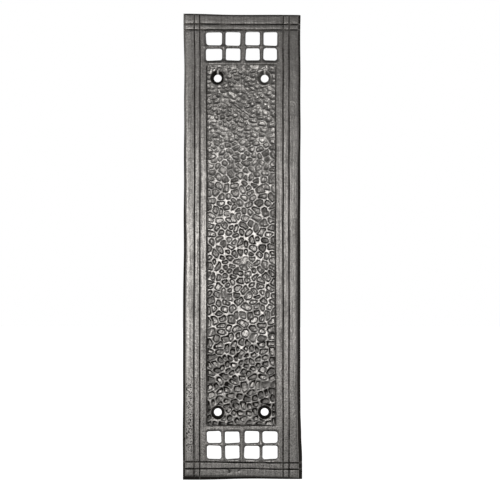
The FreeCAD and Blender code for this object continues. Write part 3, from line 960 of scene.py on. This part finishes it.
# %% Warp the plan like the real casting
# Place along the edge, then how far it is pushed across or up.
EDGE_FADE = 16.0
LEFT_EDGE = ((-150, 0.0), (-90, 0.05), (-37, 0.15), (0, 0.65), (85, 0.85), (106, 1.0), (150, 0.5))
RIGHT_EDGE = ((-150, 0.45), (150, 0.44))
TOP_EDGE = ((-37, -0.8), (-5, -1.6), (37, -1.7))
FOOT_EDGE = ((-37, -1.35), (12, -0.5), (37, -0.7))
FLARE_FADE = 7.0
RIGHT_FLARE = ((-150, 1.12), (-136, 1.1), (-122, 0.55), (-107, 0.0), (150, 0.0))
SWAY_LENGTH, SWAY_ACROSS, SWAY_UP = 40, 0.05, 0.07
# Each line's offsets, and then how far above the foot the push fades out over and under it.
FOOT_LINES = (
    (((-37, 0.0), (-25, 0.0), (5, -0.8), (37, -0.8)), (12.4, 11.65), (7.4, 10.15)),
    (((-37, 0.35), (-25, 0.35), (5, 0.0), (25, -0.4), (37, -0.4)), (9.5, 7.3), (3.2, 5.7)),
)


def along_edge(at, edge):
    """Offset of an edge at a place along it, eased between the measured points."""
    places, offsets = np.array(edge, float).T
    number = np.clip(np.searchsorted(places, at) - 1, 0, len(places) - 2)
    share = ramp(at, places[number], places[number + 1])
    return between((offsets[number], offsets[number + 1]), share)


def warp(points):
    """The plan as the foundry left it."""
    u, w = np.array(points, float).T
    above_foot = half_length + w
    move_u = ramp(half_width + u, EDGE_FADE, 0) * along_edge(w, LEFT_EDGE)
    move_u += ramp(half_width - u, EDGE_FADE, 0) * along_edge(w, RIGHT_EDGE)
    move_u += ramp(half_width - u, FLARE_FADE, 0) * along_edge(w, RIGHT_FLARE)
    move_u += SWAY_ACROSS * ripple(u, w, SWAY_LENGTH, seed=51)
    move_w = ramp(half_length - w, EDGE_FADE, 0) * along_edge(u, TOP_EDGE)
    move_w += ramp(above_foot, EDGE_FADE, 0) * along_edge(u, FOOT_EDGE)
    for offsets, over, under in FOOT_LINES:
        move_w += ramp(above_foot, *over) * ramp(above_foot, *under) * along_edge(u, offsets)
    move_w += SWAY_UP * ripple(u, w, SWAY_LENGTH, seed=52)
    return np.stack([u + move_u, w + move_w], axis=1)


front = warp(flat)
print("largest shift", round(float(np.abs(front - flat).max()), 2), "mm")

# %% [markdown]
# The front is still a sheet. A Solidify modifier would copy every hammer mark to the back, so the
# walls are built instead. They drop from the outline, the windows and the holes to the back, with a
# shoulder that keeps the dark bevel off the sides and a small worn arris behind.

# %% Drop the walls
WALL_SHOULDER = 0.2
BACK_ARRIS = 0.25
OUTER_WALL_GRIME, INNER_WALL_GRIME, BACK_GRIME = 0.6, 0.8, 0.8
vertices = [(x, -out, z) for (x, z), out in zip(front, height)]
values = {"grime_and_shade": list(grime_and_shade), "sandy": list(sandy), "calm": list(calm)}
faces = [tuple(triangle) for triangle in triangles]
back_plan, back_numbers, back_lines = [], [], []


def add_ring(points, levels, grime_and_shade_value):
    """Adds a row of vertices at one height, or each at its own, and returns their numbers."""
    first = len(vertices)
    levels = np.broadcast_to(levels, len(points))
    vertices.extend((x, -level, z) for (x, z), level in zip(points, levels))
    for name, value in (("grime_and_shade", grime_and_shade_value), ("sandy", 0.0), ("calm", 0.0)):
        values[name].extend([value] * len(points))
    return list(range(first, len(vertices)))


def add_wall(upper, lower, outwards):
    """Quads between two closed rows of vertices; the wall faces out of the iron."""
    for (a, b), (d, c) in zip(closed_line(upper), closed_line(lower)):
        faces.append((a, d, c, b) if outwards else (a, b, c, d))


def drop_to_back(edge, ring_plan, back_ring_plan, outwards, wall_grime):
    """Walls from an edge of the front down to the back, and the back's own edge."""
    top = [number_of[number] for number in edge]
    shoulder = add_ring(warp(ring_plan), height[top] - WALL_SHOULDER, wall_grime)
    waist = add_ring(warp(ring_plan), BACK_ARRIS, wall_grime)
    foot = add_ring(warp(back_ring_plan), 0.0, BACK_GRIME)
    for upper, lower in ((top, shoulder), (shoulder, waist), (waist, foot)):
        add_wall(upper, lower, outwards)
    back_lines.extend(closed_line(list(range(len(back_plan), len(back_plan) + len(foot)))))
    back_plan.extend(back_ring_plan)
    back_numbers.extend(foot)


outline_plan = [plan[number] for number in outline]
shrink = np.array([1 - BACK_ARRIS / half_width, 1 - BACK_ARRIS / half_length])
back_outline = [tuple(np.array(point) * shrink) for point in outline_plan]
drop_to_back(outline, outline_plan, back_outline, True, OUTER_WALL_GRIME)
back_windows = [window_ring(window, BACK_ARRIS) for window in windows]
for window, edge, back_window in zip(windows, window_edges, back_windows):
    drop_to_back(edge, window_ring(window, 0.0), back_window, False, INNER_WALL_GRIME)
back_radius = bore_radius + BACK_ARRIS
for centre, edge in zip(holes, hole_edges):
    back_circle = circle(centre, back_radius)
    drop_to_back(edge, circle(centre, bore_radius), back_circle, False, INNER_WALL_GRIME)
print("walls bring the casting to", len(vertices), "points")

# %% [markdown]
# The back lies on the door, so it is flat apart from the faint hollows of a sand-cast face. It has
# nothing to show, and a second triangulation closes it with a coarse net.

# %% Close the back
BACK_STEP = 2.5
BACK_HOLE_CLEAR = 1
BACK_ROUGHNESS = 0.06
FINE_HOLLOWS, FINE_HOLLOW_LENGTH = 0.6, 7
BROAD_HOLLOWS, BROAD_HOLLOW_LENGTH = 0.4, 19

back_inner = [
    (x, z)
    for x in even_lines(-half_width, half_width, BACK_STEP)
    for z in even_lines(-half_length, half_length, BACK_STEP)
    if all(math.dist((x, z), centre) > bore_radius + BACK_HOLE_CLEAR for centre in holes)
    and not near_window(x, z)
]
back_places = warp(back_inner)
hollows = FINE_HOLLOWS * ripple(*back_places.T, FINE_HOLLOW_LENGTH, seed=91)
hollows += BROAD_HOLLOWS * ripple(*back_places.T, BROAD_HOLLOW_LENGTH, seed=92)
back_numbers += add_ring(back_places, np.maximum(0, BACK_ROUGHNESS * hollows), BACK_GRIME)
back_plan += back_inner
found, _, back_triangles, origins, _, _ = delaunay_2d_cdt(
    [Vector(point) for point in back_plan], back_lines, [], 0, WELD
)
back_flat = np.array([tuple(point) for point in found])
for triangle in back_triangles:
    middle = back_flat[list(triangle)].mean(axis=0)
    if any(math.dist(middle, centre) < back_radius * INSCRIBED for centre in holes):
        continue
    if near_window(*middle) and any(inside(middle, polygon) for polygon in back_windows):
        continue
    faces.append(tuple(back_numbers[origins[number][0]] for number in reversed(triangle)))
print("casting", len(vertices), "points and", len(faces), "faces")

# %% [markdown]
# A triangulation fills the hull of its points. Rounding leaves a few sliver triangles outside the
# straight rim, thinner than a hair. Each has an edge that no other face shares, which tells it from
# the good ones. Without them the casting is closed, and every edge joins two faces.

# %% Trim the slivers off the rim
def face_edges(face):
    return [frozenset(edge) for edge in closed_line(face)]


uses = Counter(edge for face in faces for edge in face_edges(face))
faces = [face for face in faces if all(uses[edge] > 1 for edge in face_edges(face))]
uses = Counter(edge for face in faces for edge in face_edges(face))
print("edges that don't join two faces:", sum(count != 2 for count in uses.values()))

# %% [markdown]
# Only now does Blender get a mesh, in metres. Grime with its painted shade and highlights, sand and
# calm go along as attributes of its points, which the material reads. They stay exact under any
# light and need no image or unwrapping.

# %% Make the mesh object
SHARP_ANGLE = math.radians(55)
GRIME_LIMIT = 1.3

mesh = bpy.data.meshes.new("finger_plate_casting")
mesh.from_pydata([tuple(MM * value for value in vertex) for vertex in vertices], [], faces)
mesh.validate()
mesh.polygons.foreach_set("use_smooth", [True] * len(mesh.polygons))
mesh.set_sharp_from_angle(angle=SHARP_ANGLE)
for name, numbers in values.items():
    attribute = mesh.attributes.new(name, "FLOAT", "POINT")
    attribute.data.foreach_set("value", np.clip(numbers, 0, GRIME_LIMIT).astype(np.float32))
casting = bpy.data.objects.new("finger_plate_casting", mesh)
bpy.context.scene.collection.objects.link(casting)
mesh.calc_loop_triangles()
print("mesh", len(mesh.loop_triangles), "triangles")

# %% [markdown]
# Materials, floor and room are all built from shader nodes. The node editor would do, but a small
# workbench of functions is shorter to read: it adds a node, and joins each of its sockets to another
# socket or gives it a plain value.

# %% Make a workbench for nodes
class NodeBench:
    """Short ways to add nodes to the node tree of a material or a world, and to join them."""

    def __init__(self, owner):
        owner.use_nodes = True
        self.nodes = owner.node_tree.nodes
        self.links = owner.node_tree.links

    def feed(self, socket, value):
        """Joins a socket to another one, or gives it a plain value."""
        if isinstance(value, bpy.types.NodeSocket):
            self.links.new(value, socket)
        else:
            socket.default_value = value

    def add(self, kind, **settings):
        """A new node with its settings and what goes into its sockets."""
        node = self.nodes.new(kind)
        for name, value in settings.items():
            if name in node.inputs:
                self.feed(node.inputs[name], value)
            else:
                setattr(node, name, value)
        return node

    def join(self, kind, *values, **settings):
        """A new node whose sockets are fed in their order."""
        node = self.add(kind, **settings)
        for socket, value in zip(node.inputs, values):
            self.feed(socket, value)
        return node

    def combine(self, operation, *values):
        """One sum on values, each a socket or a number."""
        return self.join("ShaderNodeMath", *values, operation=operation).outputs["Value"]

    def spread(self, value, old, new=(0.0, 1.0)):
        """Maps a value from one range to another, and clamps it."""
        return self.join("ShaderNodeMapRange", value, *old, *new).outputs["Result"]

    def blend(self, factor, first, second):
        """A colour between two."""
        node = self.add("ShaderNodeMix", data_type="RGBA")
        for socket, value in zip((node.inputs[i] for i in (0, 6, 7)), (factor, first, second)):
            self.feed(socket, value)
        return node.outputs[2]

    def attribute(self, name):
        return self.add("ShaderNodeAttribute", attribute_name=name).outputs["Fac"]

    def ray_kinds(self):
        """1 for a ray from the camera, and 1 for a ray that a mirror or glass sent on."""
        rays = self.add("ShaderNodeLightPath").outputs
        mirrored = self.combine("MAXIMUM", rays["Is Glossy Ray"], rays["Is Transmission Ray"])
        return rays["Is Camera Ray"], mirrored

    def noise(self, scale, detail, stretch=None):
        """A noise over the object's own coordinates, about 1/scale metres between its lumps."""
        place = self.add("ShaderNodeTexCoord").outputs["Object"]
        if stretch:
            place = self.add("ShaderNodeMapping", Vector=place, Scale=stretch).outputs["Vector"]
        texture = self.add("ShaderNodeTexNoise", Vector=place, Scale=scale, Detail=detail)
        return texture.outputs["Fac"]


print("workbench ready")

# %% [markdown]
# Antique iron is two finishes in one. A dark wax or lacquer lies in every hollow, and the high
# places are rubbed back to grey metal. The grime value mixes the two, and with them the painted
# shade and highlights, so one material serves the whole casting. Noise makes the border between them
# uneven: clouds and mottles, long brush strokes on the rubbed places, fine sand everywhere and
# coarse speckles where the sand crumbled.

# %% Spread the patina and painted shade
RUBBED_IRON = (0.7, 0.672, 0.638, 1.0)
DARK_PATINA_AND_SHADE = (0.027, 0.0225, 0.0185, 1.0)
# Each noise has its lumps per metre and its detail, and then how much it changes the grime.
CLOUD, CLOUD_CHANGE = (45.0, 2.0), 0.1
MOTTLE, MOTTLE_CHANGE = (330.0, 4.0), 0.16
SAND, SAND_CHANGE = (1500.0, 2.0), 0.14
BRUSHING, BRUSHING_CHANGE = (1.0, 2.0), 0.3
BRUSH_STROKES = (1400.0, 1400.0, 40.0)
SPECKLE, SPECKLE_RANGE, SPECKLE_CHANGE = (1300.0, 1.0), (0.46, 0.62), (-0.5, 0.95)
NOISE_RANGE = (0.3, 0.7)
CALM_SHARE = 0.4
RUBBED_BELOW = 0.8

iron = bpy.data.materials.new("antique_iron")
bench = NodeBench(iron)


def grain(texture, amount):
    """A noise turned into a change of the grime, as much up as down."""
    return bench.spread(texture, NOISE_RANGE, (-amount, amount))


sand = bench.noise(*SAND)
mottle = bench.noise(*MOTTLE)
cloud = bench.noise(*CLOUD)
brushing = bench.noise(*BRUSHING, BRUSH_STROKES)
grime_and_shade_value = bench.attribute("grime_and_shade")
evenness = bench.spread(bench.attribute("calm"), (0.0, 1.0), (1.0, CALM_SHARE))
uneven = bench.combine("ADD", grain(mottle, MOTTLE_CHANGE), grain(cloud, CLOUD_CHANGE))
uneven = bench.combine("MULTIPLY", uneven, evenness)
rubbed = bench.spread(grime_and_shade_value, (0.0, RUBBED_BELOW), (1.0, 0.0))
brushed = bench.combine("MULTIPLY", rubbed, grain(brushing, BRUSHING_CHANGE))
uneven = bench.combine("ADD", uneven, brushed)
uneven = bench.combine("ADD", uneven, grain(sand, SAND_CHANGE))
speckle = bench.spread(bench.noise(*SPECKLE), SPECKLE_RANGE, SPECKLE_CHANGE)
speckle = bench.combine("MULTIPLY", bench.attribute("sandy"), speckle)
uneven = bench.combine("ADD", uneven, speckle)
# The dark share of the colour: patina, together with the painted shade carried in the grime value.
patina_and_shade = bench.spread(bench.combine("ADD", grime_and_shade_value, uneven), (0.0, 1.0))
print("patina of", len(bench.nodes), "nodes")

# %% [markdown]
# Bare iron is a metal with a soft shine, while the dark finish is duller and less metallic, so the
# patina, with the painted shade in it, drives all three values of the shader. A bump from the same
# noises breaks up the shine like the skin of a sand casting.

# %% Mix the antique iron
DARK_FROM = (0.4, 1.0)
IRON_TO_DARK_METAL = (1.0, 0.55)
IRON_TO_DARK_ROUGHNESS = (0.29, 0.55)
IRON_SPECULAR = 0.3
SKIN_STRENGTH, SKIN_DEPTH = 0.3, 0.00015
GRIT, GRIT_SHARE = (800.0, 2.0), 1.5

shader = bench.nodes["Principled BSDF"]
grit = bench.combine("MULTIPLY", bench.noise(*GRIT), GRIT_SHARE)
skin = bench.combine("ADD", bench.combine("ADD", sand, mottle), grit)
bump = bench.add("ShaderNodeBump", Strength=SKIN_STRENGTH, Distance=SKIN_DEPTH, Height=skin)
bench.feed(shader.inputs["Base Color"], bench.blend(patina_and_shade, RUBBED_IRON, DARK_PATINA_AND_SHADE))
bench.feed(shader.inputs["Metallic"], bench.spread(patina_and_shade, DARK_FROM, IRON_TO_DARK_METAL))
bench.feed(shader.inputs["Roughness"], bench.spread(patina_and_shade, DARK_FROM, IRON_TO_DARK_ROUGHNESS))
bench.feed(shader.inputs["Normal"], bump.outputs["Normal"])
shader.inputs["Specular IOR Level"].default_value = IRON_SPECULAR
mesh.materials.append(iron)
print("material", iron.name, "with", len(bench.nodes), "nodes")

# %% [markdown]
# The frame has to know what was dressed: the casting moves with the root body, stands in for the
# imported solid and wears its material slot.

# %% Put the casting in the frame
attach(casting, "root")
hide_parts("finger_plate")
print("casting rides on root")

# %% [markdown]
# The studio is plain: a pale paper floor below and behind the plate, a white surround, and soft
# lamps close to the camera's line. The floor glows white to the camera and in mirrors only, so the
# picture's ground is white without more light on the iron. It ends behind the plate, because the
# polished bevel at the foot would mirror it.

# %% Build the floor
FLOOR_DROP = 0.06
FLOOR_SIZE = 3.0
FLOOR_FRONT = 0.12
PAPER_COLOUR, PAPER_ROUGHNESS = (0.9, 0.9, 0.9, 1), 0.9
PAPER_GLOW = 0.9

floor_place = (0, FLOOR_FRONT + FLOOR_SIZE / 2, plate_low.z - FLOOR_DROP)
bpy.ops.mesh.primitive_plane_add(size=FLOOR_SIZE, location=floor_place)
floor = bpy.context.object
floor.name = "floor"
paper = bpy.data.materials.new("pale_paper")
bench = NodeBench(paper)
paper_shader = bench.nodes["Principled BSDF"]
paper_shader.inputs["Base Color"].default_value = PAPER_COLOUR
paper_shader.inputs["Roughness"].default_value = PAPER_ROUGHNESS
seen = bench.combine("MAXIMUM", *bench.ray_kinds())
no_glow, glow = (bench.add("ShaderNodeEmission", Strength=level) for level in (0, PAPER_GLOW))
shown_glow = bench.join("ShaderNodeMixShader", seen, no_glow.outputs[0], glow.outputs[0])
both = bench.join("ShaderNodeAddShader", paper_shader.outputs[0], shown_glow.outputs[0])
bench.feed(bench.nodes["Material Output"].inputs["Surface"], both.outputs[0])
floor.data.materials.append(paper)
print("floor at", round(floor.location.z, 3), "m")

# %% [markdown]
# Polished high spots mirror the lamp, and slopes mirror the room beside it. The room in front is
# dim, which is what draws the dark rim round each mark. It is lighter at the sides, below and
# behind, so that the plate doesn't turn black when it is seen from an angle. The camera itself sees
# white everywhere, and mirrors see the white backdrop behind the plate.

# %% Set up the room
ROOM_FRONT = 0.04
ROOM_SIDE, SIDE_FROM = 0.46, (0.38, 0.58)
ROOM_BEHIND, BEHIND_FROM = 0.6, (0.1, 0.6)
ROOM_BELOW, BELOW_FROM = 0.14, (-0.3, -0.85)
BACKDROP_FROM = (0.5, 0.7)
WHITE = (1, 1, 1, 1)

world = bpy.data.worlds.new("studio")
bpy.context.scene.world = world
bench = NodeBench(world)
direction = bench.add("ShaderNodeTexCoord").outputs["Generated"]
way = bench.add("ShaderNodeSeparateXYZ", Vector=direction).outputs
camera_rays, mirror_rays = bench.ray_kinds()
backdrop = bench.combine("MULTIPLY", mirror_rays, bench.spread(way["Y"], BACKDROP_FROM))
white_share = bench.combine("MAXIMUM", backdrop, camera_rays)
aside = bench.combine("ABSOLUTE", way["X"])
sides = bench.spread(aside, SIDE_FROM, (ROOM_FRONT, ROOM_SIDE))
behind = bench.spread(way["Y"], BEHIND_FROM, (0.0, ROOM_BEHIND - ROOM_SIDE))
below = bench.spread(way["Z"], BELOW_FROM, (0.0, ROOM_BELOW))
room_level = bench.combine("ADD", bench.combine("ADD", sides, behind), below)
room_colour = bench.blend(white_share, room_level, WHITE)
bench.feed(bench.nodes["Background"].inputs["Color"], room_colour)
print("room level", ROOM_FRONT, "in front,", ROOM_SIDE, "beside,", ROOM_BEHIND, "behind")

# %% [markdown]
# One small flash beside the lens lights the plate, as for a catalogue picture, and a broad dim
# umbrella behind it softens the edges of its reflection. A lamp's power is worked out from how
# bright a mirror would show it, so that its size can change without changing the picture's level.

# %% Hang the lamps
FLASH_PLACE, FLASH_SIZE, FLASH_BRIGHTNESS = (-0.06, -1.15, 0.0), 0.16, 12.2
UMBRELLA_PLACE, UMBRELLA_SIZE, UMBRELLA_BRIGHTNESS = (-0.05, -1.3, 0.0), 1.0, 0.14


def hang_lamp(name, place, size, brightness):
    """A round soft lamp that faces the plate. Its brightness is what a mirror would show."""
    data = bpy.data.lights.new(name, "AREA")
    data.shape = "DISK"
    data.size = size
    data.energy = brightness * math.pi * math.pi * size**2 / 4
    lamp = bpy.data.objects.new(name, data)
    lamp.location = place
    lamp.rotation_euler = (-Vector(place)).to_track_quat("-Z", "Y").to_euler()
    lamp.visible_camera = False
    bpy.context.scene.collection.objects.link(lamp)
    print(name, "of", round(data.energy, 2), "watts")


hang_lamp("flash", FLASH_PLACE, FLASH_SIZE, FLASH_BRIGHTNESS)
hang_lamp("umbrella", UMBRELLA_PLACE, UMBRELLA_SIZE, UMBRELLA_BRIGHTNESS)
bpy.context.scene.view_settings.view_transform = "Standard"
